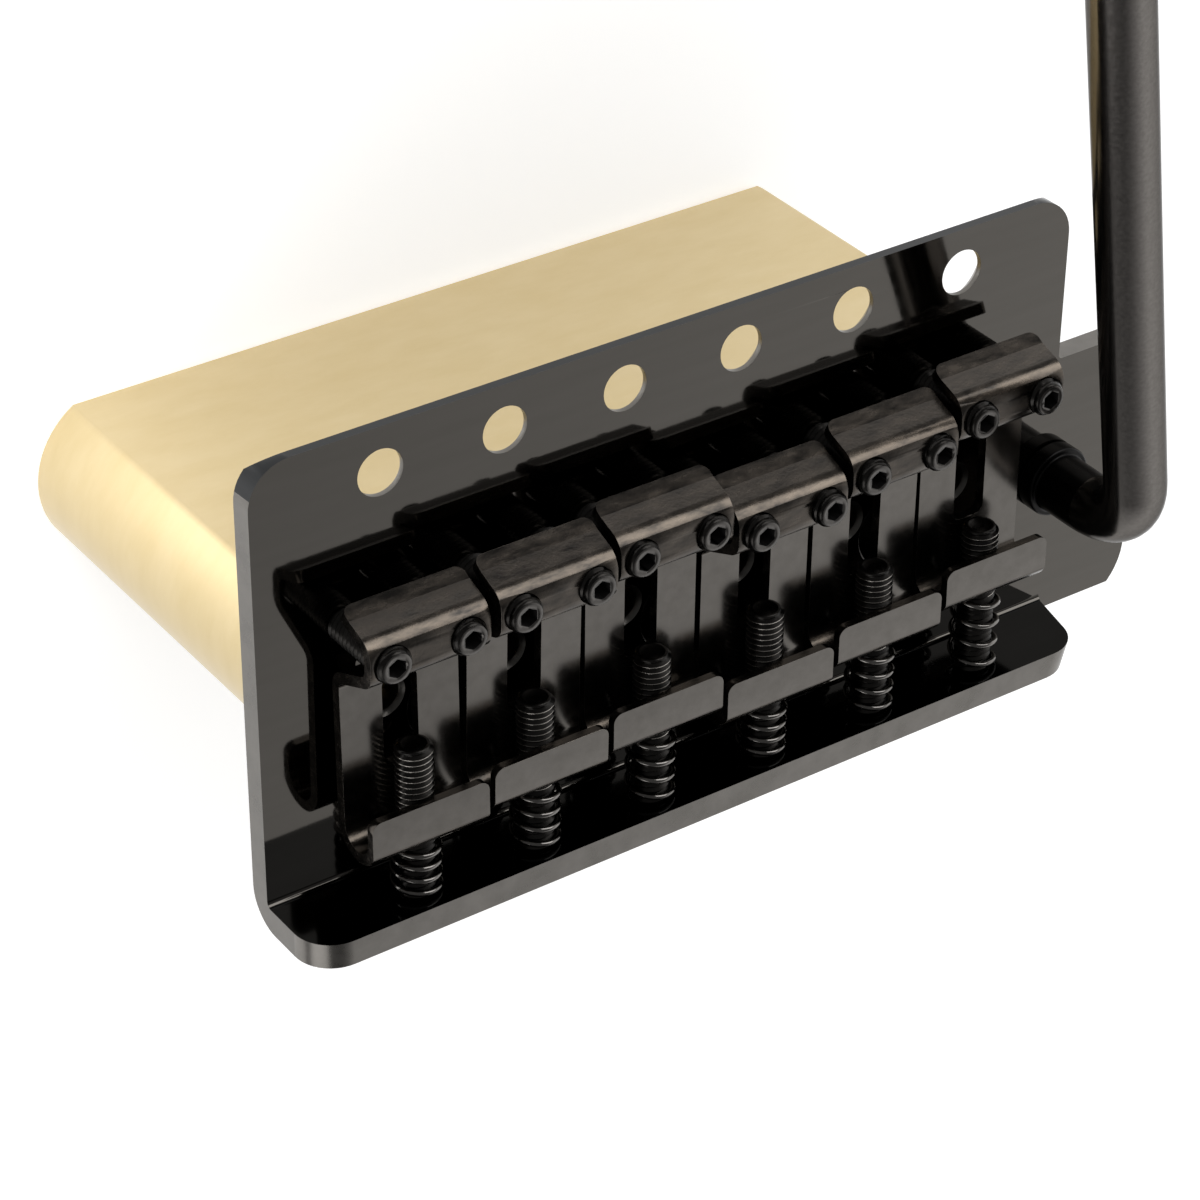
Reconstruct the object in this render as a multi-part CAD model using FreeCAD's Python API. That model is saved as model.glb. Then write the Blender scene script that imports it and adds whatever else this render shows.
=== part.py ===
import FreeCAD, Part
import math
import os

# Six-screw guitar tremolo bridge, in millimetres. X runs across the strings to the treble side,
# Y runs towards the neck and Z runs up out of the guitar. The origin is the middle of the line of
# mounting holes, on the underside of the plate.

# Driving sizes
mounting_pitch = 10.5
string_pitch = 10.6
string_count = 6
plate_thickness = 2.0
overrun = 5.0

# Base plate outline
plate_half_width = 37.0
plate_front_y = 3.75
plate_corner_r = 3.5
bevel_height = 1.2
bevel_run = 1.1
ear_right_x = 45.9
ear_front_y = -11.1
ear_rear_y = -34.9
ear_corner_r = 5.4
ear_corner_step_x = 1.45
ear_corner_step_y = 1.7
inner_corner_r = 0.4

# Rear flange, bent up from the plate
flange_front_y = -33.85
flange_thickness = 2.15
flange_top_z = 9.0
flange_right_x = 36.9
flange_lean = 1.6
flange_end_skew_share = 0.3
flange_corner_r = 3.2
bend_inner_r = 0.5
bend_outer_r = 3.0

# Mounting holes, opened out from below
mounting_hole_r = 1.9
mounting_sink_depth = 1.55

# String passages and block screws
string_hole_y = -19.0
string_hole_r = 1.5
string_hole_chamfer = 0.35
ball_bore_r = 2.6
ball_stop_depth = 10.0
block_screw_xs = (-2 * mounting_pitch, 0, 2 * mounting_pitch)
block_screw_r = 2.0
block_screw_head_r = 3.5
block_screw_sunk = 0.1
block_screw_length = 14.0
tapped_depth_spare = 1.5

# Block
block_centre_x = mounting_pitch / 2
block_centre_y = -21.2
block_half_thickness = 6.55
block_end_r = 7.7
block_end_centre_reach = 29.85
block_depth = 41.3
block_edge_chamfer = 0.4
hook_hole_count = 5
hook_hole_r = 1.3
hook_hole_y = -24.6
hook_hole_depth = 12.0

# Arm
arm_x = 3.5 * mounting_pitch
arm_y = -21.75
arm_rod_r = 2.5
arm_stub_r = 2.42
arm_stub_depth = 22.0
arm_bore_depth = 26.0
arm_fit = 0.08
arm_plate_hole_r = 2.75
arm_collar_r = 3.05
arm_collar_height = 1.5
arm_seat_gap = 0.05
arm_height = 13.0
arm_bend_r = 7.0
arm_swing_deg = 14.8
arm_rise_deg = 8.0
arm_length = 140.0
tip_length = 24.0
tip_r = 3.6
tip_mouth_r = 3.0
tip_grip = 16.0

# Saddles, each a bent strip about the axis of its length screw
saddle_width = 10.1
sheet = 0.9
curl_outer_r = 2.5
curl_bend_r = 1.95
curl_flat_height = 2.3
curl_lip_reach = 1.95
riser_foot_y = 12.5
roof_rear_y = 14.4
roof_front_y = 17.15
roof_height = 2.95
apron_kink_y = 18.01
apron_kink_z = 0.03
apron_reach_y = 18.65
apron_low_z = -1.1
foot_bend_r = 1.3
roof_rear_bend_r = 1.05
roof_front_bend_r = 1.3
kink_bend_r = 0.6
sheet_corner_r = 0.8
slot_width = 3.0
slot_rear_y = 3.5
slot_front_y = 11.2
saddle_rear_ys = (-26.87, -26.11, -25.47, -26.88, -25.71, -24.42)
saddle_tilts_deg = (-0.9, 1.3, 0.2, 0.4, 0.3, -0.8)

# Length screws, their springs and the height screws
screw_axis_z = 6.0
screw_r = 1.45
screw_tip_y = -20.85
screw_chamfer = 0.35
screw_head_r = 2.75
screw_head_gap = 0.03
flange_hole_r = 1.6
thread_fit = 0.08
spring_wire_r = 0.23
spring_mean_r = 1.79
spring_half_turns = 7
spring_seat_gap = 0.03
height_screw_y = 15.6
height_screw_spacing = 6.35
height_screw_lengths = (7.0, 7.75, 7.3, 7.7, 7.5, 7.25)
height_screw_chamfer = 0.2
height_screw_foot_gap = 0.02


def in_row(index, count, pitch):
    """Where one of an even row across the part stands, counted from the bass side."""
    return (index - (count - 1) / 2) * pitch


def string_x(index):
    """Where a string runs."""
    return in_row(index, string_count, string_pitch)


def vector(x, y, z):
    return FreeCAD.Vector(x, y, z)


def upright(x, y, low, high, r):
    """A round bar along Z."""
    return Part.makeCylinder(r, high - low, vector(x, y, low))


def lengthwise(x, z, rear, front, r):
    """A round bar along Y."""
    return Part.makeCylinder(r, front - rear, vector(x, rear, z), vector(0, 1, 0))


def flared(x, y, low, high, low_r, high_r):
    """A cone along Z."""
    return Part.makeCone(low_r, high_r, high - low, vector(x, y, low))


def rounded_wire(corners, place):
    """A closed wire through (u, v, r) corners, each rounded to its radius; place maps (u, v) into space."""
    count = len(corners)
    runs = []
    for i in range(count):
        u, v, r = corners[i]
        here = vector(u, v, 0)
        before = vector(*corners[i - 1][:2], 0) - here
        after = vector(*corners[(i + 1) % count][:2], 0) - here
        before.normalize()
        after.normalize()
        half = before.getAngle(after) / 2
        if r == 0:
            runs.append((here, here, here))
            continue
        reach = r / math.tan(half)
        middle = before + after
        middle.normalize()
        peak = here + middle * (r / math.sin(half) - r)
        runs.append((here + before * reach, peak, here + after * reach))
    edges = []
    for i in range(count):
        start, peak, end = (place(p.x, p.y) for p in runs[i])
        following = place(runs[(i + 1) % count][0].x, runs[(i + 1) % count][0].y)
        if corners[i][2] > 0:
            edges.append(Part.Arc(start, peak, end).toShape())
        edges.append(Part.makeLine(end, following))
    return Part.Wire(edges)


def flat_prism(corners, low, high):
    """A plan outline raised along Z."""
    wire = rounded_wire(corners, lambda u, v: vector(u, v, low))
    return Part.Face(wire).extrude(vector(0, 0, high - low))


def side_prism(corners, left, right):
    """A (y, z) outline carried along X."""
    wire = rounded_wire(corners, lambda u, v: vector(left, u, v))
    return Part.Face(wire).extrude(vector(right - left, 0, 0))


def turned(outline, x, y):
    """A (radius, z) outline turned about an upright axis."""
    points = [vector(r, 0, z) for r, z in outline]
    face = Part.Face(Part.makePolygon(points + points[:1]))
    solid = face.revolve(vector(0, 0, 0), vector(0, 0, 1))
    solid.translate(vector(x, y, 0))
    return solid


def turned_lengthwise(outline, x, z):
    """A (radius, y) outline turned about an axis along Y."""
    points = [vector(r, y, 0) for r, y in outline]
    face = Part.Face(Part.makePolygon(points + points[:1]))
    solid = face.revolve(vector(0, 0, 0), vector(0, 1, 0))
    solid.translate(vector(x, 0, z))
    return solid


def plate_sheet():
    """The flat of the plate with its side ear for the arm."""
    ear_side_x = ear_right_x - ear_corner_step_x
    corners = [
        (-plate_half_width, plate_front_y, plate_corner_r),
        (plate_half_width, plate_front_y, plate_corner_r),
        (plate_half_width, ear_front_y, inner_corner_r),
        (ear_side_x, ear_front_y, 0),
        (ear_right_x, ear_front_y - ear_corner_step_y, ear_corner_r),
        (ear_right_x, ear_rear_y + ear_corner_step_y, ear_corner_r),
        (ear_side_x, ear_rear_y, 0),
        (flange_right_x, ear_rear_y, 0),
        (flange_right_x, flange_front_y + overrun, 0),
        (-plate_half_width, flange_front_y + overrun, 0),
    ]
    return flat_prism(corners, 0, plate_thickness)


def flange():
    """The rear edge of the plate, bent up square, with rounded top corners."""
    rear_y = flange_front_y - flange_thickness
    corners = [
        (flange_front_y + overrun, 0, 0),
        (rear_y, 0, bend_outer_r),
        (rear_y, flange_top_z, 0),
        (flange_front_y, flange_top_z, 0),
        (flange_front_y, plate_thickness, bend_inner_r),
        (flange_front_y + overrun, plate_thickness, 0),
    ]
    bent = side_prism(corners, -plate_half_width, flange_right_x)
    bass_end = [
        (-plate_half_width, -overrun, 0),
        (flange_right_x + overrun, -overrun, 0),
        (flange_right_x + overrun, flange_top_z, 0),
        (-plate_half_width, flange_top_z, flange_corner_r),
    ]
    treble_end = [
        (-plate_half_width - overrun, -overrun, 0),
        (flange_right_x, -overrun, 0),
        (flange_right_x, plate_thickness, 0),
        (flange_right_x - flange_lean, flange_top_z, flange_corner_r),
        (-plate_half_width - overrun, flange_top_z, 0),
    ]
    return bent.common(upright_prism(bass_end, 0)).common(upright_prism(treble_end, flange_end_skew_share))


def upright_prism(corners, skew_share):
    """An (x, z) outline, true at the flange's front face, carried along Y and skewed in plan."""
    start_y = flange_front_y + overrun
    depth = flange_thickness + 2 * overrun
    wire = rounded_wire(corners, lambda u, v: vector(u + skew_share * overrun, start_y, v))
    return Part.Face(wire).extrude(vector(-skew_share * depth, -depth, 0))


def front_bevel():
    """What is taken off under the front edge, so that the plate rocks on it."""
    slope = bevel_height / bevel_run
    root_y = plate_front_y - bevel_run
    corners = [
        (root_y - overrun / slope, -overrun, 0),
        (plate_front_y + overrun, -overrun, 0),
        (plate_front_y + overrun, bevel_height + overrun * slope, 0),
    ]
    return side_prism(corners, -plate_half_width - overrun, plate_half_width + overrun)


def base_plate():
    plate = plate_sheet().fuse(flange()).removeSplitter()
    cuts = [front_bevel()]
    for i in range(string_count):
        mounting_x = in_row(i, string_count, mounting_pitch)
        cuts.append(upright(mounting_x, 0, -overrun, plate_thickness + overrun, mounting_hole_r))
        sink_r = mounting_hole_r + mounting_sink_depth
        cuts.append(flared(mounting_x, 0, 0, mounting_sink_depth, sink_r, mounting_hole_r))
        x = string_x(i)
        cuts.append(upright(x, string_hole_y, -overrun, plate_thickness + overrun, string_hole_r))
        chamfer_z = plate_thickness - string_hole_chamfer
        mouth_r = string_hole_r + string_hole_chamfer
        cuts.append(flared(x, string_hole_y, chamfer_z, plate_thickness, string_hole_r, mouth_r))
        rear_y = flange_front_y - flange_thickness
        cuts.append(lengthwise(x, screw_axis_z, rear_y - overrun, flange_front_y + overrun, flange_hole_r))
        sink = [(0, rear_y), (screw_head_r, rear_y), (0, rear_y + screw_head_r)]
        cuts.append(turned_lengthwise(sink, x, screw_axis_z))
    for x in block_screw_xs:
        cuts.append(upright(x, block_centre_y, -overrun, plate_thickness, block_screw_r))
        sink_low = plate_thickness - block_screw_sunk - (block_screw_head_r - block_screw_r)
        mouth_r = block_screw_head_r + block_screw_sunk
        cuts.append(flared(x, block_centre_y, sink_low, plate_thickness, block_screw_r, mouth_r))
    cuts.append(upright(arm_x, arm_y, -overrun, plate_thickness + overrun, arm_plate_hole_r))
    return plate.cut(cuts)


def block():
    """The solid block under the plate, with an outline of two flats and two bowed ends."""
    flat_reach = block_end_centre_reach + math.sqrt(block_end_r ** 2 - block_half_thickness ** 2)
    end_reach = block_end_centre_reach + block_end_r
    left_x = block_centre_x - flat_reach
    right_x = block_centre_x + flat_reach
    front_y = block_centre_y + block_half_thickness
    rear_y = block_centre_y - block_half_thickness
    bass_end = vector(block_centre_x - end_reach, block_centre_y, -block_depth)
    treble_end = vector(block_centre_x + end_reach, block_centre_y, -block_depth)
    front_left = vector(left_x, front_y, -block_depth)
    front_right = vector(right_x, front_y, -block_depth)
    rear_left = vector(left_x, rear_y, -block_depth)
    rear_right = vector(right_x, rear_y, -block_depth)
    outline = Part.Wire([
        Part.makeLine(front_left, front_right),
        Part.Arc(front_right, treble_end, rear_right).toShape(),
        Part.makeLine(rear_right, rear_left),
        Part.Arc(rear_left, bass_end, front_left).toShape(),
    ])
    solid = Part.Face(outline).extrude(vector(0, 0, block_depth))
    low_edges = [e for e in solid.Edges if e.BoundBox.ZMax < overrun - block_depth]
    solid = solid.makeChamfer(block_edge_chamfer, low_edges)
    cuts = []
    for i in range(string_count):
        cuts.append(upright(string_x(i), string_hole_y, -ball_stop_depth - overrun, overrun, string_hole_r))
        cuts.append(upright(string_x(i), string_hole_y, -block_depth - overrun, -ball_stop_depth, ball_bore_r))
    for i in range(hook_hole_count):
        x = in_row(i, hook_hole_count, mounting_pitch)
        hook_top_z = hook_hole_depth - block_depth
        cuts.append(upright(x, hook_hole_y, -block_depth - overrun, hook_top_z, hook_hole_r))
    for x in block_screw_xs:
        low = plate_thickness - block_screw_length - tapped_depth_spare
        cuts.append(upright(x, block_centre_y, low, overrun, block_screw_r))
    cuts.append(upright(arm_x, arm_y, -arm_bore_depth, overrun, arm_stub_r + arm_fit))
    return solid.cut(cuts)


def block_screws():
    """The countersunk screws that hold the block to the plate."""
    top = plate_thickness - block_screw_sunk
    neck = top - (block_screw_head_r - block_screw_r)
    outline = [
        (0, top),
        (block_screw_head_r, top),
        (block_screw_r, neck),
        (block_screw_r, top - block_screw_length),
        (0, top - block_screw_length),
    ]
    return Part.Compound([turned(outline, x, block_centre_y) for x in block_screw_xs])


def arm_place(shape):
    """Puts a shape that was made about the stub's axis, with the rod towards +Y, into the photographed pose."""
    shape.rotate(vector(0, 0, 0), vector(0, 0, 1), arm_swing_deg)
    shape.translate(vector(arm_x, arm_y, 0))
    return shape


def rod_point(distance):
    """A point on the rod's axis, by its distance from where the stub's axis meets it."""
    rise = math.radians(arm_rise_deg)
    return vector(0, distance * math.cos(rise), arm_height + distance * math.sin(rise))


def arm():
    """The bent rod: stub, collar, tight bend and straight reach."""
    turn = math.radians(90 - arm_rise_deg)
    tangent = arm_bend_r * math.tan(turn / 2)
    seat_z = plate_thickness + arm_seat_gap
    start = vector(0, 0, seat_z)
    bend_start = vector(0, 0, arm_height - tangent)
    bend_end = rod_point(tangent)
    corner = vector(0, 0, arm_height)
    inward = (bend_start - corner) + (bend_end - corner)
    inward.normalize()
    bend_middle = corner + inward * (arm_bend_r / math.cos(turn / 2) - arm_bend_r)
    path = Part.Wire([
        Part.makeLine(start, bend_start),
        Part.Arc(bend_start, bend_middle, bend_end).toShape(),
        Part.makeLine(bend_end, rod_point(arm_length)),
    ])
    ring = Part.Wire(Part.makeCircle(arm_rod_r, start, vector(0, 0, 1)))
    rod = path.makePipeShell([ring], True, False)
    stub = upright(0, 0, -arm_stub_depth, seat_z + arm_collar_height, arm_stub_r)
    collar = upright(0, 0, seat_z, seat_z + arm_collar_height, arm_collar_r)
    return arm_place(rod.fuse([stub, collar]).removeSplitter())


def arm_tip():
    """The grip pressed on the end of the rod."""
    mouth_z = -tip_grip
    dome_z = tip_length - tip_grip
    outline = Part.Wire([
        Part.makeLine(vector(0, 0, 0), vector(arm_rod_r, 0, 0)),
        Part.makeLine(vector(arm_rod_r, 0, 0), vector(arm_rod_r, 0, mouth_z)),
        Part.makeLine(vector(arm_rod_r, 0, mouth_z), vector(tip_mouth_r, 0, mouth_z)),
        Part.makeLine(vector(tip_mouth_r, 0, mouth_z), vector(tip_r, 0, dome_z - tip_r)),
        Part.Arc(
            vector(tip_r, 0, dome_z - tip_r),
            vector(tip_r * math.sqrt(1 / 2), 0, dome_z - tip_r + tip_r * math.sqrt(1 / 2)),
            vector(0, 0, dome_z),
        ).toShape(),
        Part.makeLine(vector(0, 0, dome_z), vector(0, 0, 0)),
    ])
    tip = Part.Face(outline).revolve(vector(0, 0, 0), vector(0, 0, 1))
    tip.rotate(vector(0, 0, 0), vector(1, 0, 0), arm_rise_deg - 90)
    tip.translate(rod_point(arm_length))
    return arm_place(tip)


def strip_corners(path, thickness):
    """The closed outline of a bent strip, from the (u, v, bend radius) corners of its middle line."""
    count = len(path)
    sides = {1: [], -1: []}
    for i in range(count):
        here = vector(*path[i][:2], 0)
        into = here - vector(*path[max(i - 1, 0)][:2], 0)
        out = vector(*path[min(i + 1, count - 1)][:2], 0) - here
        into = into if i > 0 else out
        out = out if i < count - 1 else into
        into.normalize()
        out.normalize()
        normal = vector(-into.y - out.y, into.x + out.x, 0)
        normal.normalize()
        mitre = thickness / 2 / normal.dot(vector(-into.y, into.x, 0))
        left_turn = into.x * out.y - into.y * out.x > 0
        for side in sides:
            p = here + normal * (side * mitre)
            closer = side > 0 if left_turn else side < 0
            bend = path[i][2]
            r = 0 if bend == 0 else bend + (-thickness / 2 if closer else thickness / 2)
            sides[side].append((p.x, p.y, r))
    return sides[1] + sides[-1][::-1]


def rounded_ends(sheet_solid, is_end):
    """Rounds the corners at a free end of a strip."""
    edges = [e for e in sheet_solid.Edges if is_end(e)]
    return sheet_solid.makeFillet(sheet_corner_r, edges)


def saddle_strip():
    """A saddle about its own origin: the curl round the length screw, the floor, the riser, the roof
    and the apron that hangs in front of the height screws."""
    middle = curl_outer_r - sheet / 2
    roof_z = roof_height - sheet / 2
    path = [
        (curl_lip_reach, middle, 0),
        (-middle, middle, curl_bend_r),
        (-middle, -middle, curl_bend_r),
        (riser_foot_y, -middle, foot_bend_r),
        (roof_rear_y, roof_z, roof_rear_bend_r),
        (roof_front_y, roof_z, roof_front_bend_r),
        (apron_kink_y, apron_kink_z, kink_bend_r),
        (apron_reach_y, apron_low_z, 0),
    ]
    strip = side_prism(strip_corners(path, sheet), -saddle_width / 2, saddle_width / 2)
    strip = rounded_ends(strip, is_apron_end)
    above_flat = Part.makeBox(
        saddle_width + overrun,
        2 * curl_outer_r + overrun,
        overrun,
        vector(-(saddle_width + overrun) / 2, -curl_outer_r - overrun, curl_flat_height),
    )
    return rounded_ends(strip.cut(above_flat), is_lip_end)


def is_apron_end(edge):
    """Does this edge cross the thickness of the sheet at the foot of the apron?"""
    box = edge.BoundBox
    return box.YMin > roof_front_y + sheet and box.ZMax < apron_low_z + sheet and box.XLength < sheet


def is_lip_end(edge):
    """Does this edge cross the thickness of the sheet at the front of the curl's lip?"""
    box = edge.BoundBox
    at_front = curl_lip_reach - sheet / 2 < box.YMin and box.YMax < curl_outer_r
    return at_front and box.ZMin > 0 and box.XLength < sheet


def string_slot():
    """The slot in the floor that the string comes up through."""
    half = slot_width / 2
    corners = [
        (-half, slot_rear_y, half / 2),
        (half, slot_rear_y, half / 2),
        (half, slot_front_y, half / 2),
        (-half, slot_front_y, half / 2),
    ]
    return flat_prism(corners, -curl_outer_r - overrun, 0)


def saddle(index):
    """A saddle as it is set: tilted about its length screw, then tapped for its three screws."""
    solid = saddle_strip().cut(string_slot())
    solid.rotate(vector(0, 0, 0), vector(1, 0, 0), saddle_tilts_deg[index])
    solid.translate(vector(string_x(index), saddle_rear_ys[index], screw_axis_z))
    rear_y = saddle_rear_ys[index] - curl_outer_r - overrun
    cuts = [lengthwise(string_x(index), screw_axis_z, rear_y, saddle_rear_ys[index], screw_r + thread_fit)]
    for side in (-1, 1):
        x, y = height_screw_place(index, side)
        cuts.append(upright(x, y, plate_thickness, flange_top_z + overrun, screw_r + thread_fit))
    return solid.cut(cuts)


def height_screw_place(index, side):
    x = string_x(index) + side * height_screw_spacing / 2
    return x, saddle_rear_ys[index] + height_screw_y


def height_screw(index, side):
    """A grub screw that stands on the plate and carries the front of the saddle."""
    x, y = height_screw_place(index, side)
    low = plate_thickness + height_screw_foot_gap
    high = low + height_screw_lengths[index]
    outline = [
        (0, low),
        (screw_r - height_screw_chamfer, low),
        (screw_r, low + height_screw_chamfer),
        (screw_r, high - height_screw_chamfer),
        (screw_r - height_screw_chamfer, high),
        (0, high),
    ]
    return turned(outline, x, y)


def length_screw(index):
    """The screw that draws a saddle back against its spring, with its head sunk in the flange."""
    back_y = flange_front_y - flange_thickness
    outline = [
        (0, back_y),
        (screw_head_r - screw_head_gap, back_y),
        (screw_r, back_y + screw_head_r - screw_head_gap - screw_r),
        (screw_r, screw_tip_y - screw_chamfer),
        (screw_r - screw_chamfer, screw_tip_y),
        (0, screw_tip_y),
    ]
    return turned_lengthwise(outline, string_x(index), screw_axis_z)


def helix_point(angle, rear, pitch):
    """A point of a coil round the Y axis, and the coil's direction there."""
    point = vector(spring_mean_r * math.cos(angle), rear + pitch * angle / math.tau, spring_mean_r * math.sin(angle))
    along = vector(-spring_mean_r * math.sin(angle), pitch / math.tau, spring_mean_r * math.cos(angle))
    along.normalize()
    return point, along


def tangent_arc(start, corner, end):
    """The arc between two points whose end directions meet at the corner."""
    middle = (start + end) / 2
    half_chord = (end - start).Length / 2
    rise = corner - middle
    half_angle = math.atan2(rise.Length, half_chord)
    rise.normalize()
    return Part.Arc(start, middle + rise * (half_chord * math.tan(half_angle / 2)), end).toShape()


def biarc(start, start_along, end, end_along):
    """Two arcs that leave one point and reach the other in the given directions."""
    chord = end - start
    both = start_along + end_along
    square = 2 * (1 - start_along.dot(end_along))
    slope = chord.dot(both)
    reach = (math.sqrt(slope ** 2 + square * chord.dot(chord)) - slope) / square
    first_corner = start + start_along * reach
    last_corner = end - end_along * reach
    joint = (first_corner + last_corner) / 2
    return [tangent_arc(start, first_corner, joint), tangent_arc(joint, last_corner, end)]


def least_gap(rear, pitch):
    """The least clear distance of a coil to itself, measured on points along it."""
    per_turn = 48
    apart = per_turn // 2
    points = [helix_point(math.pi * i / apart, rear, pitch)[0] for i in range(spring_half_turns * apart + 1)]
    gaps = [
        (points[i] - points[j]).Length - 2 * spring_wire_r
        for i in range(len(points))
        for j in range(i + apart, len(points))
    ]
    return min(gaps)


def spring(index):
    """The compression spring on a length screw, from the flange to the saddle's curl."""
    rear = flange_front_y + spring_wire_r
    front = saddle_rear_ys[index] - curl_outer_r - spring_seat_gap - spring_wire_r
    pitch = 2 * (front - rear) / spring_half_turns
    edges = []
    for i in range(spring_half_turns):
        here, along = helix_point(math.pi * i, rear, pitch)
        there, there_along = helix_point(math.pi * (i + 1), rear, pitch)
        edges += biarc(here, along, there, there_along)
    start, start_along = helix_point(0, rear, pitch)
    ring = Part.Wire(Part.makeCircle(spring_wire_r, start, start_along))
    coil = Part.Wire(edges).makePipeShell([ring], True, False)
    coil.translate(vector(string_x(index), 0, screw_axis_z))
    print("spring", index + 1, "least gap to itself", round(least_gap(rear, pitch), 3))
    return coil


def export(shape, name):
    shape.exportStep("parts/" + name + ".step")


os.makedirs("parts", exist_ok=True)
export(base_plate(), "base_plate")
export(block(), "tremolo_block")
export(block_screws(), "block_screws")
export(arm(), "tremolo_arm")
export(arm_tip(), "arm_tip")
for i in range(string_count):
    number = str(i + 1)
    export(saddle(i), "saddle_" + number)
    export(length_screw(i), "length_screw_" + number)
    export(spring(i), "length_spring_" + number)
    export(height_screw(i, -1), "height_screw_" + number + "_bass")
    export(height_screw(i, 1), "height_screw_" + number + "_treble")
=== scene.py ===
import bpy
import bmesh
from math import atan2, cos, pi, radians, sin, tau
from mathutils import Matrix, Vector


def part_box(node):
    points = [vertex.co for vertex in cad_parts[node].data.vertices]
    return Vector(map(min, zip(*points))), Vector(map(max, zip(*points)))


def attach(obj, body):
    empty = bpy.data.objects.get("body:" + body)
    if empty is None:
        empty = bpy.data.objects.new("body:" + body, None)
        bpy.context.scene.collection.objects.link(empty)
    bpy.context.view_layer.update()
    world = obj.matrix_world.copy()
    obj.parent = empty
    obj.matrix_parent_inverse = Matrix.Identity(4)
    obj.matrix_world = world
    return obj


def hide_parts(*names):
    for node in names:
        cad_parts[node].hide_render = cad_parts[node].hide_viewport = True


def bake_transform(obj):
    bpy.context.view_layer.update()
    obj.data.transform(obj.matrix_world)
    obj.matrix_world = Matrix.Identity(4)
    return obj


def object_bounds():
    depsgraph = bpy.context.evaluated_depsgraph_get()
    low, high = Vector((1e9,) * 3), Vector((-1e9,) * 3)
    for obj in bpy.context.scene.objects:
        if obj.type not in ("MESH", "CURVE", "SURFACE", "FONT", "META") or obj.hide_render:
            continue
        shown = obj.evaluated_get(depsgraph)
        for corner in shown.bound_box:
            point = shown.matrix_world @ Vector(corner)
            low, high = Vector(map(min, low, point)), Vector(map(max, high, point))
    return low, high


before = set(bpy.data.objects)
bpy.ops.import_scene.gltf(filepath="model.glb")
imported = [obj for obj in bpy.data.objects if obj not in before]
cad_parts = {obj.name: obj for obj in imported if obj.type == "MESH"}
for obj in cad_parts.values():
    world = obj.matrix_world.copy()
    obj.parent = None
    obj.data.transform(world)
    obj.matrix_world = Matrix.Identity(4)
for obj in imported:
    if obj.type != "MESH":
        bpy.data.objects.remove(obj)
cad_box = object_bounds()
bpy.context.scene.view_settings.view_transform = "Standard"

# Brass block
# A bar of brass sawn from drawn stock with bowed ends, faced with a fine belt and lightly eased
# along its foot. It hangs under the plate and holds the strings' ball ends.
weld = 2e-6
flat_within = radians(0.4)
sharp_from = radians(35)
pit_depth = 0.00005
block_ease = 0.00015
most_downward, least_downward = -0.9, -0.3


def merged_copy(node):
    """A CAD node's mesh with its triangles joined up into whole faces."""
    bm = bmesh.new()
    bm.from_mesh(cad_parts[node].data)
    bmesh.ops.remove_doubles(bm, verts=bm.verts, dist=weld)
    bmesh.ops.dissolve_limit(bm, angle_limit=flat_within, verts=bm.verts, edges=bm.edges, delimit=set())
    return bm


def ease_edges(bm, width):
    """Rounds every sharp edge a little and gives back the new faces."""
    sharp = [e for e in bm.edges if e.is_manifold and e.calc_face_angle() > sharp_from]
    made = bmesh.ops.bevel(
        bm, geom=sharp, offset=width, offset_type="OFFSET", affect="EDGES", segments=2,
        profile=0.5, material=-1, clamp_overlap=True,
    )
    return made["faces"]


def finished(bm, name, body, node, finishes, even=True):
    """Makes an object of a mesh, lets it ride on its body and stand for its CAD node."""
    for face in bm.faces:
        face.smooth = True
    mesh = bpy.data.meshes.new(name)
    bm.to_mesh(mesh)
    bm.free()
    piece = bpy.data.objects.new(name, mesh)
    bpy.context.collection.objects.link(piece)
    for finish in finishes:
        mesh.materials.append(finish)
    if even:
        shading = piece.modifiers.new("even shading", "WEIGHTED_NORMAL")
        shading.keep_sharp = True
    if body:
        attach(piece, body)
    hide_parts(node)
    return piece


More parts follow.
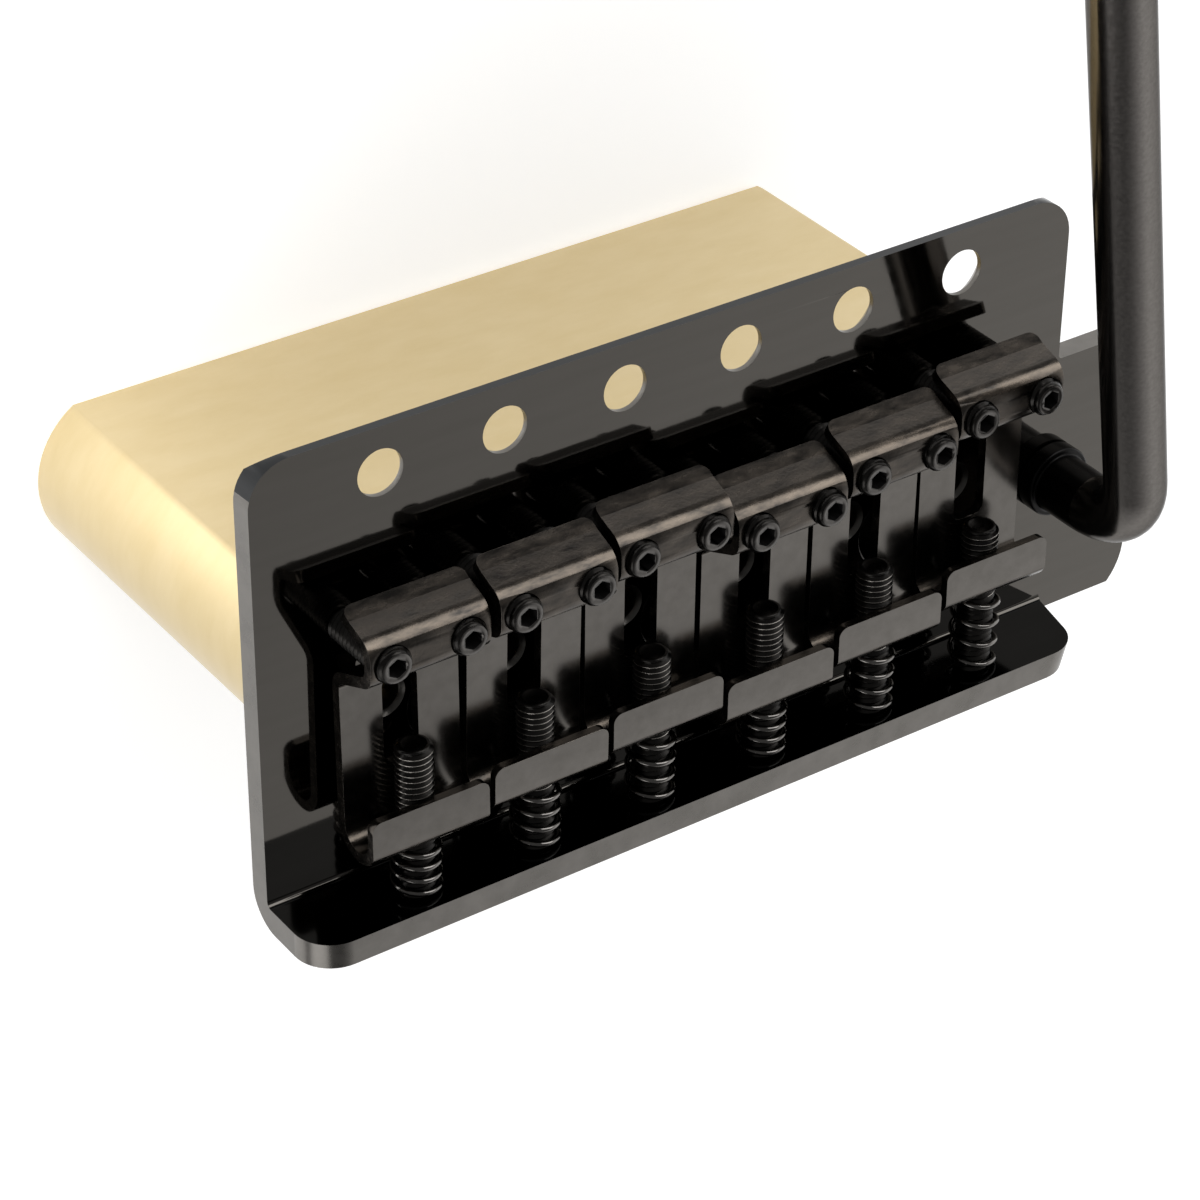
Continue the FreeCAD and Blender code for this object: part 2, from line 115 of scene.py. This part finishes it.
def metal(name, dark, light, grain, rough, pits=None, wear_and_highlight=None):
    """A bare or plated metal: its colour and gloss wander between two values along a grain. Pits are
    a strength and a fineness. Where the mesh carries a wear_and_highlight attribute, the colour is
    mixed towards the given colour: partly rubbed-through plating, partly a painted highlight."""
    material = bpy.data.materials.new(name)
    material.use_nodes = True
    nodes, links = material.node_tree.nodes, material.node_tree.links
    shader = nodes["Principled BSDF"]
    shader.inputs["Metallic"].default_value = 1.0
    place = nodes.new("ShaderNodeTexCoord")
    stretch = nodes.new("ShaderNodeMapping")
    stretch.inputs["Scale"].default_value = grain
    links.new(place.outputs["Object"], stretch.inputs["Vector"])
    noise = nodes.new("ShaderNodeTexNoise")
    noise.inputs["Scale"].default_value = 1.0
    noise.inputs["Detail"].default_value = 5.0
    noise.inputs["Roughness"].default_value = 0.6
    links.new(stretch.outputs["Vector"], noise.inputs["Vector"])
    noise_span = (0.3, 0.7)
    colour = nodes.new("ShaderNodeValToRGB")
    for stop, position, tint in zip(colour.color_ramp.elements, noise_span, (dark, light)):
        stop.position = position
        stop.color = (*tint, 1)
    links.new(noise.outputs["Fac"], colour.inputs["Fac"])
    links.new(colour.outputs["Color"], shader.inputs["Base Color"])
    gloss = nodes.new("ShaderNodeMapRange")
    for socket, value in zip(("From Min", "From Max", "To Min", "To Max"), noise_span + rough):
        gloss.inputs[socket].default_value = value
    links.new(noise.outputs["Fac"], gloss.inputs["Value"])
    links.new(gloss.outputs["Result"], shader.inputs["Roughness"])
    if pits:
        strength, fineness = pits
        pitting = nodes.new("ShaderNodeTexNoise")
        pitting.inputs["Scale"].default_value = fineness
        pitting.inputs["Detail"].default_value = 3.0
        links.new(place.outputs["Object"], pitting.inputs["Vector"])
        relief = nodes.new("ShaderNodeBump")
        relief.inputs["Strength"].default_value = strength
        relief.inputs["Distance"].default_value = pit_depth
        links.new(pitting.outputs["Fac"], relief.inputs["Height"])
        links.new(relief.outputs["Normal"], shader.inputs["Normal"])
    if wear_and_highlight:
        wear_and_highlight_share = nodes.new("ShaderNodeAttribute")
        wear_and_highlight_share.attribute_name = "wear_and_highlight"
        patchy = nodes.new("ShaderNodeMath")
        patchy.operation = "MULTIPLY_ADD"
        cloud, gain, offset = patchy.inputs
        gain.default_value = 1.6
        offset.default_value = -0.5
        links.new(noise.outputs["Fac"], cloud)
        amount = nodes.new("ShaderNodeMath")
        amount.operation = "MULTIPLY"
        amount.use_clamp = True
        links.new(wear_and_highlight_share.outputs["Fac"], amount.inputs[0])
        links.new(patchy.outputs["Value"], amount.inputs[1])
        # Mixes in the wear-and-highlight colour: partly real wear, partly a painted highlight.
        rubbed = nodes.new("ShaderNodeMix")
        rubbed.data_type = "RGBA"
        factor, plated_colour, bare_and_highlight_colour = (rubbed.inputs[i] for i in (0, 6, 7))
        wear_and_highlight_colour = rubbed.outputs[2]
        bare_and_highlight_colour.default_value = (*wear_and_highlight, 1)
        links.new(amount.outputs["Value"], factor)
        links.new(colour.outputs["Color"], plated_colour)
        links.new(wear_and_highlight_colour, shader.inputs["Base Color"])
    return material


satin_brass = metal(
    "satin_brass", dark=(0.634, 0.508, 0.281), light=(0.676, 0.553, 0.328),
    grain=(180, 180, 450), rough=(0.28, 0.32), pits=(0.03, 7000),
)
bright_brass = metal(
    "bright_brass_edge", dark=(0.8, 0.7, 0.48), light=(0.88, 0.78, 0.56),
    grain=(300, 300, 300), rough=(0.2, 0.3),
)
block_finishes = [satin_brass, bright_brass]
bm = merged_copy("tremolo_block")
for face in bm.faces:
    if most_downward < face.normal.z < least_downward:
        face.material_index = block_finishes.index(bright_brass)
for face in ease_edges(bm, block_ease):
    face.material_index = block_finishes.index(bright_brass)
finished(bm, "brass_block", "bridge", "tremolo_block", block_finishes)

# Block screws
# Three countersunk steel screws, blackened, that go down through the plate and draw the block up
# against it. The saddles hide them from above.
block_screw_ease = 0.0001
black_screw = metal(
    "black_oxide_screw", dark=(0.022, 0.021, 0.02), light=(0.045, 0.042, 0.039),
    grain=(700, 700, 700), rough=(0.22, 0.34),
)
bm = merged_copy("block_screws")
ease_edges(bm, block_screw_ease)
finished(bm, "block_screws_finished", "bridge", "block_screws", [black_screw])

# Base plate
# Steel sheet of 2 mm, pierced, bent up at the rear, polished and plated in black nickel. Its cut
# edges are satin and catch more light than its faces. The flange's inside and the front edge are
# painted darkest as painted shade, the flange's edges are painted brighter as a painted highlight,
# and the string holes' walls are painted darker as painted shade.
plate_ease = 0.00018
flange_depth = 0.004
front_edge_depth = 0.0036
string_row_half_length = 0.03
lying_flat = 0.95
square_on = 0.9
half_turned = 0.5
leaning = 0.3
black_nickel = metal(
    "black_nickel_plate", dark=(0.109, 0.102, 0.092), light=(0.118, 0.11, 0.1),
    grain=(60, 900, 60), rough=(0.035, 0.075), pits=(0.02, 900),
)
satin_edge = metal(
    "black_nickel_edge", dark=(0.125, 0.118, 0.108), light=(0.175, 0.165, 0.152),
    grain=(400, 400, 400), rough=(0.25, 0.35),
)
# A brighter copy of the edge finish for the flange's cut edges and rim: a painted highlight.
rim_with_painted_highlight = metal(
    "black_nickel_rim_painted_highlight", dark=(0.17, 0.161, 0.148), light=(0.235, 0.222, 0.206),
    grain=(400, 400, 400), rough=(0.25, 0.35),
)
# Painted shade: the string holes' walls are painted darker than the other cut edges.
hole_wall = metal(
    "hole_wall_painted_shade", dark=(0.1, 0.095, 0.088), light=(0.14, 0.132, 0.122),
    grain=(900, 900, 900), rough=(0.25, 0.35),
)
# Painted shade: the flange's inside face and the plate's front edge are painted near-black, which keeps
# lamp reflections out of them.
flange_and_edge_shade = metal(
    "dark_flange_face", dark=(0.028, 0.029, 0.03), light=(0.04, 0.041, 0.042),
    grain=(60, 900, 60), rough=(0.05, 0.1),
)
plate_finishes = [black_nickel, satin_edge, flange_and_edge_shade, hole_wall, rim_with_painted_highlight]
plate_low, plate_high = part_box("base_plate")
block_low, block_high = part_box("tremolo_block")
flange_front = plate_low.y + flange_depth
front_edge = plate_high.y - front_edge_depth
bm = merged_copy("base_plate")
for face in bm.faces:
    middle, normal = face.calc_center_median(), face.normal
    on_flange = middle.y < flange_front
    wall = abs(normal.z) < lying_flat and middle.y > flange_front
    rim = middle.z > plate_high.z / 2 and normal.z > leaning and abs(normal.y) < half_turned
    string_hole = block_low.y < middle.y < block_high.y and abs(middle.x) < string_row_half_length
    # Cut edges: the flange's get the painted highlight, the string holes' the painted shade, the rest the
    # satin finish.
    if wall or rim or abs(normal.x) > leaning:
        finish = hole_wall if string_hole else rim_with_painted_highlight if on_flange else satin_edge
        face.material_index = plate_finishes.index(finish)
    # The flange's inside face and the front edge take the painted shade.
    if on_flange and normal.y > square_on or middle.y > front_edge and normal.y > leaning:
        face.material_index = plate_finishes.index(flange_and_edge_shade)
for face in ease_edges(bm, plate_ease):
    face.material_index = plate_finishes.index(satin_edge)
finished(bm, "base_plate_finished", "bridge", "base_plate", plate_finishes)

# Length screws
# Six M3 machine screws, blackened, each with its countersunk head sunk in the flange's back and a
# cupped end that shows past the saddle's curl, where the thread's crest is painted bright: partly
# rubbed wear, partly a painted glint. Under the spring the crest keeps the dark screw colour.
string_numbers = range(1, 7)
thread_pitch = 0.0005
thread_depth = 0.00026
thread_height_shares = (0, 0.15, 0.42, 0.58, 0.85, 1)
spare_turns = 2
crest_r = 0.00147
crest_slack = 0.00001
level_within = 1e-6
cap_corners = 8
length_screw_sides = 32
head_r = 0.00268
head_rise = 0.0015
head_neck = 0.0003
head_flat_r = 0.0015
end_chamfer = 0.0002
end_rim_r = 0.00118
end_cup_r = 0.00095
end_cup_floor_r = 0.0006
end_cup_depth = 0.00035
recess_land = 0.00008
recess_half_width = 0.00035
recess_half_length = 0.0013
recess_depth = 0.0011
recess_taper_share = 0.5
along_y = Matrix.Rotation(-pi / 2, 4, "X")
# The bright crest colour is partly rubbed steel and partly a painted glint.
bright_crest = metal(
    "thread_crest_wear_and_glint", dark=(0.48, 0.449, 0.412), light=(0.7, 0.658, 0.605),
    grain=(900, 900, 900), rough=(0.2, 0.3),
)
length_screw_finishes = [black_screw, bright_crest]


def threaded_bar(length, sides):
    """A right-hand thread along Z from 0 to a length, open at both ends."""
    bm = bmesh.new()
    root_r = crest_r - thread_depth
    radii = (root_r, root_r, crest_r, crest_r, root_r, root_r)
    profile = zip(radii, thread_height_shares)
    turns = round(length / thread_pitch) + spare_turns
    verts = [bm.verts.new((r, 0, (share - 1) * thread_pitch)) for r, share in profile]
    edges = [bm.edges.new(pair) for pair in zip(verts, verts[1:])]
    bmesh.ops.spin(
        bm, geom=verts + edges, cent=(0, 0, 0), axis=(0, 0, 1), dvec=(0, 0, thread_pitch / sides),
        angle=tau * turns, steps=sides * turns, use_merge=False,
    )
    bmesh.ops.remove_doubles(bm, verts=bm.verts, dist=weld)
    for cut, upward in ((0, False), (length, True)):
        bmesh.ops.bisect_plane(
            bm, geom=bm.verts[:] + bm.edges[:] + bm.faces[:], plane_co=(0, 0, cut), plane_no=(0, 0, 1),
            clear_outer=upward, clear_inner=not upward,
        )
    return bm


def end_loop(bm, height):
    """The open edges of a bar at a height."""
    open_edges = [e for e in bm.edges if e.is_boundary]
    return [e for e in open_edges if all(abs(v.co.z - height) < level_within for v in e.verts)]


def turned_end(bm, height, steps):
    """Carries the open rim at a height through (radius, rise) steps and closes it."""
    rim = end_loop(bm, height)
    for r, rise in steps:
        made = bmesh.ops.extrude_edge_only(bm, edges=rim)["geom"]
        verts = [g for g in made if isinstance(g, bmesh.types.BMVert)]
        edges = [g for g in made if isinstance(g, bmesh.types.BMEdge)]
        rim = [e for e in edges if all(v in verts for v in e.verts)]
        for v in verts:
            flat = Vector((v.co.x, v.co.y, 0)).normalized() * r
            v.co = (flat.x, flat.y, height + rise)
    bmesh.ops.contextual_create(bm, geom=rim)


def end_caps(bm):
    """The many-cornered faces that close a screw's ends, from the lowest up."""
    caps = [f for f in bm.faces if len(f.verts) > cap_corners]
    return sorted(caps, key=lambda f: f.calc_center_median().z)


def cross_recess(bm):
    """Sinks a tapering cross for a screwdriver into the closing face at a screw's lower end."""
    cap = end_caps(bm)[0]
    bmesh.ops.inset_individual(bm, faces=[cap], thickness=recess_land, use_even_offset=True)
    for v in cap.verts:
        off_arm = abs((atan2(v.co.y, v.co.x) + pi / 4) % (pi / 2) - pi / 4)
        reach = recess_half_length / cos(off_arm)
        if sin(off_arm) * reach > recess_half_width:
            reach = recess_half_width / sin(off_arm)
        v.co.xy = v.co.xy.normalized() * reach
    bottom = bmesh.ops.extrude_discrete_faces(bm, faces=[cap])["faces"]
    for v in {v for f in bottom for v in f.verts}:
        v.co = (v.co.x * recess_taper_share, v.co.y * recess_taper_share, v.co.z + recess_depth)


for i in string_numbers:
    node = f"length_screw_{i}"
    low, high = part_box(node)
    centre = (low + high) / 2
    thread_length = high.y - low.y - head_rise - end_chamfer
    bm = threaded_bar(thread_length, length_screw_sides)
    turned_end(
        bm, thread_length,
        [(end_rim_r, end_chamfer), (end_cup_r, end_chamfer), (end_cup_floor_r, -end_cup_depth)],
    )
    turned_end(
        bm, 0, [(crest_r, 0), (crest_r, -head_neck), (head_r, -head_rise), (head_flat_r, -head_rise)],
    )
    cross_recess(bm)
    # Only crests past the curl get the bright paint, partly wear and partly a painted glint; those under
    # the spring stay dark.
    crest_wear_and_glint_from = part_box(f"saddle_{i}")[0].y - low.y - head_rise
    for face in bm.faces:
        on_crest = all(v.co.xy.length > crest_r - crest_slack for v in face.verts)
        past_curl = all(v.co.z > crest_wear_and_glint_from for v in face.verts)
        if on_crest and past_curl:
            face.material_index = length_screw_finishes.index(bright_crest)
    bmesh.ops.recalc_face_normals(bm, faces=bm.faces)
    under_head = Matrix.Translation((centre.x, low.y + head_rise, centre.z))
    bmesh.ops.transform(bm, verts=bm.verts, matrix=under_head @ along_y)
    finished(bm, f"{node}_threaded", node, node, length_screw_finishes)

# Springs
# Compression springs of half-millimetre wire round the length screws, blackened, squeezed between
# the flange and the saddles' curls.
wire_r = 0.00023
wire_sides = 14
half_turns = 7
steps_per_half_turn = 18
spring_wire = metal(
    "black_spring_wire", dark=(0.16, 0.152, 0.144), light=(0.25, 0.237, 0.223),
    grain=(900, 900, 900), rough=(0.08, 0.15),
)
for i in string_numbers:
    node = f"length_spring_{i}"
    low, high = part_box(node)
    centre = (low + high) / 2
    mean_r = (high.x - low.x) / 2 - wire_r
    steps = half_turns * steps_per_half_turn
    reach = high.y - low.y - 2 * wire_r
    bm = bmesh.new()
    wire_end = Matrix.Translation((mean_r, 0, 0)) @ Matrix.Rotation(pi / 2, 4, "X")
    ring = bmesh.ops.create_circle(
        bm, segments=wire_sides, radius=wire_r, matrix=wire_end, cap_ends=False,
    )["verts"]
    start = bm.edges[:]
    swept = bmesh.ops.spin(
        bm, geom=ring + start, cent=(0, 0, 0), axis=(0, 0, 1), dvec=(0, 0, reach / steps),
        angle=-pi * half_turns, steps=steps, use_merge=False,
    )["geom_last"]
    for loop in (start, [g for g in swept if isinstance(g, bmesh.types.BMEdge)]):
        bmesh.ops.contextual_create(bm, geom=loop)
    bmesh.ops.recalc_face_normals(bm, faces=bm.faces)
    flange_end = Matrix.Translation((centre.x, low.y + wire_r, centre.z))
    bmesh.ops.transform(bm, verts=bm.verts, matrix=flange_end @ along_y)
    spring = finished(bm, f"{node}_wound", None, node, [spring_wire], even=False)
    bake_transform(spring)

# Saddles
# Strips of steel, each bent into a curl round its length screw, a floor with a slot for the string,
# and a hump with two tapped holes. They are plated satin black. The front bend of each hump is
# painted lighter brown, partly as wear and partly as a painted highlight, and the eased edges are
# painted lighter, partly as wear and partly as a painted highlight.
saddle_ease = 0.00012
hump_length = 0.006
roof_slope, roof_fade = 0.24, 0.3
apron_slope, apron_fade = 0.92, 0.15
least_rise = 0.25
level = 0.99
# Its wear_and_highlight colour is partly rubbed plating and partly a painted highlight on the hump's
# front bend.
saddle_black = metal(
    "satin_black_saddle", dark=(0.052, 0.048, 0.044), light=(0.115, 0.1, 0.086),
    grain=(450, 1300, 1300), rough=(0.18, 0.3), pits=(0.15, 4000), wear_and_highlight=(0.28, 0.232, 0.186),
)
# Lighter eased edges: partly wear, partly a painted highlight along the edges.
saddle_edge = metal(
    "saddle_edge_wear_and_highlight", dark=(0.16, 0.146, 0.13), light=(0.36, 0.322, 0.284),
    grain=(500, 500, 500), rough=(0.25, 0.35),
)
saddle_flat = metal(
    "rubbed_saddle_flat", dark=(0.135, 0.126, 0.115), light=(0.165, 0.154, 0.142),
    grain=(900, 900, 900), rough=(0.14, 0.2),
)
saddle_finishes = [saddle_black, saddle_edge, saddle_flat]
for i in string_numbers:
    node = f"saddle_{i}"
    hump_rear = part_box(node)[1].y - hump_length
    bm = merged_copy(node)
    for face in bm.faces:
        if face.normal.z > level and face.calc_center_median().y < hump_rear:
            face.material_index = saddle_finishes.index(saddle_flat)
    # Eased edges take the lighter paint, partly wear and partly a painted highlight.
    for face in ease_edges(bm, saddle_ease):
        face.material_index = saddle_finishes.index(saddle_edge)
    # Faces on the hump's front bend, picked by which way they face, get partly wear and partly a painted
    # highlight.
    wear_and_highlight = bm.verts.layers.float.new("wear_and_highlight")
    bm.normal_update()
    for v in bm.verts:
        past_roof = (v.normal.y - roof_slope) / roof_fade
        before_apron = (apron_slope - v.normal.y) / apron_fade
        faces_up = v.normal.z > least_rise
        v[wear_and_highlight] = max(0.0, min(1.0, past_roof, before_apron)) if faces_up else 0.0
    finished(bm, f"{node}_finished", node, node, saddle_finishes)

# Height screws
# Twelve M3 grub screws with hex sockets, blackened. They stand on the plate and set how high the
# front of each saddle sits. Their sockets are painted near-black as painted shade.
height_screw_sides = 24
socket_r = 0.0007
socket_depth = 0.0022
socket_corner_share = 1.2
top_chamfer = 0.0005
top_neck = 0.0001
top_rim_r = 0.0012
top_land_r = 0.001
ring_rise = 0.0004
foot_chamfer = 0.00025
foot_rim_r = 0.0011
foot_cup_r = 0.0006
foot_cup_floor_r = 0.0003
foot_cup_rise = 0.0003
# Painted shade: near-black for the inside of the hex sockets.
painted_socket_shade = metal(
    "unlit_socket", dark=(0.006, 0.006, 0.006), light=(0.012, 0.011, 0.011),
    grain=(900, 900, 900), rough=(0.5, 0.6),
)
ring_black = metal(
    "ground_screw_end", dark=(0.085, 0.08, 0.076), light=(0.14, 0.132, 0.124),
    grain=(1500, 1500, 1500), rough=(0.25, 0.38),
)
height_screw_finishes = [black_screw, painted_socket_shade, ring_black]


def hex_socket(bm):
    """Sinks a six-sided socket into the closing face at a screw's upper end."""
    cap = end_caps(bm)[-1]
    bmesh.ops.inset_individual(bm, faces=[cap], thickness=recess_land, use_even_offset=True)
    for v in cap.verts:
        off_flat = (atan2(v.co.y, v.co.x) + pi / 6) % (pi / 3) - pi / 6
        v.co.xy = v.co.xy.normalized() * socket_r / cos(off_flat)
    bottom = bmesh.ops.extrude_discrete_faces(bm, faces=[cap])["faces"]
    sunk = list({v for f in bottom for v in f.verts})
    bmesh.ops.translate(bm, verts=sunk, vec=(0, 0, -socket_depth))


for i in string_numbers:
    for side in ("bass", "treble"):
        node = f"height_screw_{i}_{side}"
        low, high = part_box(node)
        centre = (low + high) / 2
        thread_top = high.z - low.z - top_chamfer
        bm = threaded_bar(thread_top, height_screw_sides)
        turned_end(
            bm, 0,
            [(foot_rim_r, -foot_chamfer), (foot_cup_r, -foot_chamfer), (foot_cup_floor_r, foot_cup_rise)],
        )
        turned_end(
            bm, thread_top, [(crest_r, top_neck), (top_rim_r, top_chamfer), (top_land_r, top_chamfer)],
        )
        hex_socket(bm)
        bmesh.ops.recalc_face_normals(bm, faces=bm.faces)
        for face in bm.faces:
            reach = max(v.co.xy.length for v in face.verts)
            above_bottom = face.calc_center_median().z > thread_top - socket_depth
            # Socket faces take the painted shade.
            if above_bottom and reach < socket_r * socket_corner_share:
                face.material_index = height_screw_finishes.index(painted_socket_shade)
            elif all(v.co.z > thread_top + ring_rise for v in face.verts):
                face.material_index = height_screw_finishes.index(ring_black)
        bmesh.ops.translate(bm, verts=bm.verts, vec=(centre.x, centre.y, low.z + foot_chamfer))
        finished(bm, f"{node}_threaded", node, node, height_screw_finishes)

# Arm
# A 5 mm steel rod bent once, plated black, whose collared foot screws into the block beside the
# plate's ear. Below foot_top the rod is painted near-black as painted shade.
arm_ease = 0.0002
foot_top = 0.0075
grazing_tint = (0.45, 0.45, 0.45, 1)
arm_black = metal(
    "black_nickel_arm", dark=(0.158, 0.147, 0.137), light=(0.2, 0.187, 0.175),
    grain=(3000, 3000, 3000), rough=(0.17, 0.23),
)
arm_black.node_tree.nodes["Principled BSDF"].inputs["Specular Tint"].default_value = grazing_tint
# Painted shade: the rod below foot_top is painted near-black.
arm_foot = metal(
    "arm_foot_painted_shade", dark=(0.012, 0.012, 0.012), light=(0.02, 0.019, 0.019),
    grain=(700, 700, 50), rough=(0.25, 0.35),
)
arm_finishes = [arm_black, arm_foot]
bm = merged_copy("tremolo_arm")
ease_edges(bm, arm_ease)
for face in bm.faces:
    if face.calc_center_median().z < foot_top:
        face.material_index = arm_finishes.index(arm_foot)
finished(bm, "tremolo_arm_finished", "arm", "tremolo_arm", arm_finishes)

# Arm tip
# A gloss black plastic grip, moulded with a blind hole and pressed on the end of the rod. Its
# colour is faintly cloudy.
tip_ease = 0.00015


def tip_plastic():
    """Black plastic that wanders a little between two near blacks."""
    material = bpy.data.materials.new("black_plastic_tip")
    material.use_nodes = True
    nodes, links = material.node_tree.nodes, material.node_tree.links
    shader = nodes["Principled BSDF"]
    shader.inputs["Roughness"].default_value = 0.25
    place = nodes.new("ShaderNodeTexCoord")
    cloud = nodes.new("ShaderNodeTexNoise")
    cloud.inputs["Scale"].default_value = 500
    links.new(place.outputs["Object"], cloud.inputs["Vector"])
    colour = nodes.new("ShaderNodeValToRGB")
    colour.color_ramp.elements[0].color = (0.012, 0.012, 0.012, 1)
    colour.color_ramp.elements[1].color = (0.022, 0.021, 0.02, 1)
    links.new(cloud.outputs["Fac"], colour.inputs["Fac"])
    links.new(colour.outputs["Color"], shader.inputs["Base Color"])
    return material


bm = merged_copy("arm_tip")
ease_edges(bm, tip_ease)
finished(bm, "arm_tip_finished", "arm", "arm_tip", [tip_plastic()])

# Floor
# A plain white table under the block's foot. To the camera and in the metal it is as white as the
# room, and it keeps the part's soft shadow.
table_half_size = 0.2
table_gap = 0.0005
table_white = (0.86, 0.86, 0.86, 1)
table_glow = 0.42
white = (1, 1, 1, 1)


def seen_directly(nodes, links):
    """One for rays from the camera and for those by way of metal or glass, nought for the rest."""
    path = nodes.new("ShaderNodeLightPath")
    either = nodes.new("ShaderNodeMath")
    either.operation = "MAXIMUM"
    links.new(path.outputs["Is Camera Ray"], either.inputs[0])
    links.new(path.outputs["Is Glossy Ray"], either.inputs[1])
    any_of = nodes.new("ShaderNodeMath")
    any_of.operation = "MAXIMUM"
    links.new(either.outputs["Value"], any_of.inputs[0])
    links.new(path.outputs["Is Transmission Ray"], any_of.inputs[1])
    return any_of.outputs["Value"]


def table_paint():
    """Matt white that glows only for rays that see it directly."""
    material = bpy.data.materials.new("white_floor")
    material.use_nodes = True
    nodes, links = material.node_tree.nodes, material.node_tree.links
    shader = nodes["Principled BSDF"]
    shader.inputs["Base Color"].default_value = table_white
    shader.inputs["Roughness"].default_value = 0.9
    shader.inputs["Specular IOR Level"].default_value = 0.0
    shader.inputs["Emission Color"].default_value = white
    glow = nodes.new("ShaderNodeMath")
    glow.operation = "MULTIPLY"
    glow.inputs[1].default_value = table_glow
    links.new(seen_directly(nodes, links), glow.inputs[0])
    links.new(glow.outputs["Value"], shader.inputs["Emission Strength"])
    return material


bm = bmesh.new()
bmesh.ops.create_grid(bm, x_segments=1, y_segments=1, size=table_half_size)
bmesh.ops.translate(bm, verts=bm.verts, vec=(0, 0, cad_box[0].z - table_gap))
mesh = bpy.data.meshes.new("floor")
bm.to_mesh(mesh)
bm.free()
mesh.materials.append(table_paint())
floor = bpy.data.objects.new("floor", mesh)
bpy.context.collection.objects.link(floor)

# Light
# A white room that is dim above its bass side, with a soft box over the neck side, one behind the
# bass side and a small one that lights the table beside the block's bass end.
room_light = 0.7
dim_side = Vector((-0.79, 0.46, 0.41)).normalized()
dim_from, dim_to = -0.49, 0.01
dim_grey = (0.12, 0.12, 0.12, 1)
world = bpy.data.worlds.new("white_room")
bpy.context.scene.world = world
world.use_nodes = True
nodes, links = world.node_tree.nodes, world.node_tree.links
lit = nodes["Background"]
lit.inputs["Color"].default_value = white
lit.inputs["Strength"].default_value = room_light
seen = nodes.new("ShaderNodeBackground")
seen.inputs["Strength"].default_value = 1.0
direction = nodes.new("ShaderNodeTexCoord")
nearness = nodes.new("ShaderNodeVectorMath")
nearness.operation = "DOT_PRODUCT"
nearness.inputs[1].default_value = dim_side
links.new(direction.outputs["Generated"], nearness.inputs[0])
dimness = nodes.new("ShaderNodeMapRange")
dimness.inputs["From Min"].default_value = dim_from
dimness.inputs["From Max"].default_value = dim_to
links.new(nearness.outputs["Value"], dimness.inputs["Value"])
path = nodes.new("ShaderNodeLightPath")
reflected = nodes.new("ShaderNodeMath")
reflected.operation = "SUBTRACT"
reflected.inputs[0].default_value = 1.0
links.new(path.outputs["Is Camera Ray"], reflected.inputs[1])
amount = nodes.new("ShaderNodeMath")
amount.operation = "MULTIPLY"
links.new(dimness.outputs["Result"], amount.inputs[0])
links.new(reflected.outputs["Value"], amount.inputs[1])
tone = nodes.new("ShaderNodeValToRGB")
tone.color_ramp.elements[0].color = white
tone.color_ramp.elements[1].color = dim_grey
links.new(amount.outputs["Value"], tone.inputs["Fac"])
links.new(tone.outputs["Color"], seen.inputs["Color"])
mixed = nodes.new("ShaderNodeMixShader")
links.new(seen_directly(nodes, links), mixed.inputs["Fac"])
links.new(lit.outputs["Background"], mixed.inputs[1])
links.new(seen.outputs["Background"], mixed.inputs[2])
links.new(mixed.outputs["Shader"], nodes["World Output"].inputs["Surface"])


def soft_box(name, place, aim, size, watts):
    """A square lamp that faces its aim and doesn't show in the picture itself."""
    lamp = bpy.data.lights.new(name, "AREA")
    lamp.shape = "SQUARE"
    lamp.size = size
    lamp.energy = watts
    holder = bpy.data.objects.new(name, lamp)
    bpy.context.collection.objects.link(holder)
    holder.location = place
    holder.visible_camera = False
    holder.rotation_mode = "QUATERNION"
    holder.rotation_quaternion = (Vector(place) - Vector(aim)).to_track_quat("Z", "Y")


soft_box("neck_side_box", place=(0.29, 0.41, 0.33), aim=(0, 0, 0), size=0.4, watts=1.0)
soft_box("rear_bass_box", place=(-0.385, -0.28, 0.155), aim=(0, 0, 0), size=0.3, watts=0.42)
soft_box(
    "bass_end_box", place=(-0.047, 0.004, -0.016), aim=(-0.047, 0.005, cad_box[0].z), size=0.012,
    watts=0.009,
)

# Camera
# The photograph's own place and lens, worked out from the row of mounting holes and the plate's
# edges: above the bass side, towards the neck.
camera_place = (-0.14694, 0.14283, 0.20168)
picture_right = Vector((0.8223, 0.0073, 0.5691))
towards_camera = Vector((-0.4785, 0.5502, 0.6844)).normalized()
lens = bpy.data.cameras.new("camera")
lens.sensor_width = 36.0
lens.lens = 116.6
lens.clip_start = 0.01
camera = bpy.data.objects.new("camera", lens)
bpy.context.collection.objects.link(camera)
picture_right = (picture_right - towards_camera * picture_right.dot(towards_camera)).normalized()
picture_up = towards_camera.cross(picture_right)
turned = Matrix((picture_right, picture_up, towards_camera)).transposed().to_4x4()
camera.matrix_world = Matrix.Translation(camera_place) @ turned
bpy.context.scene.camera = camera

bpy.context.view_layer.update()
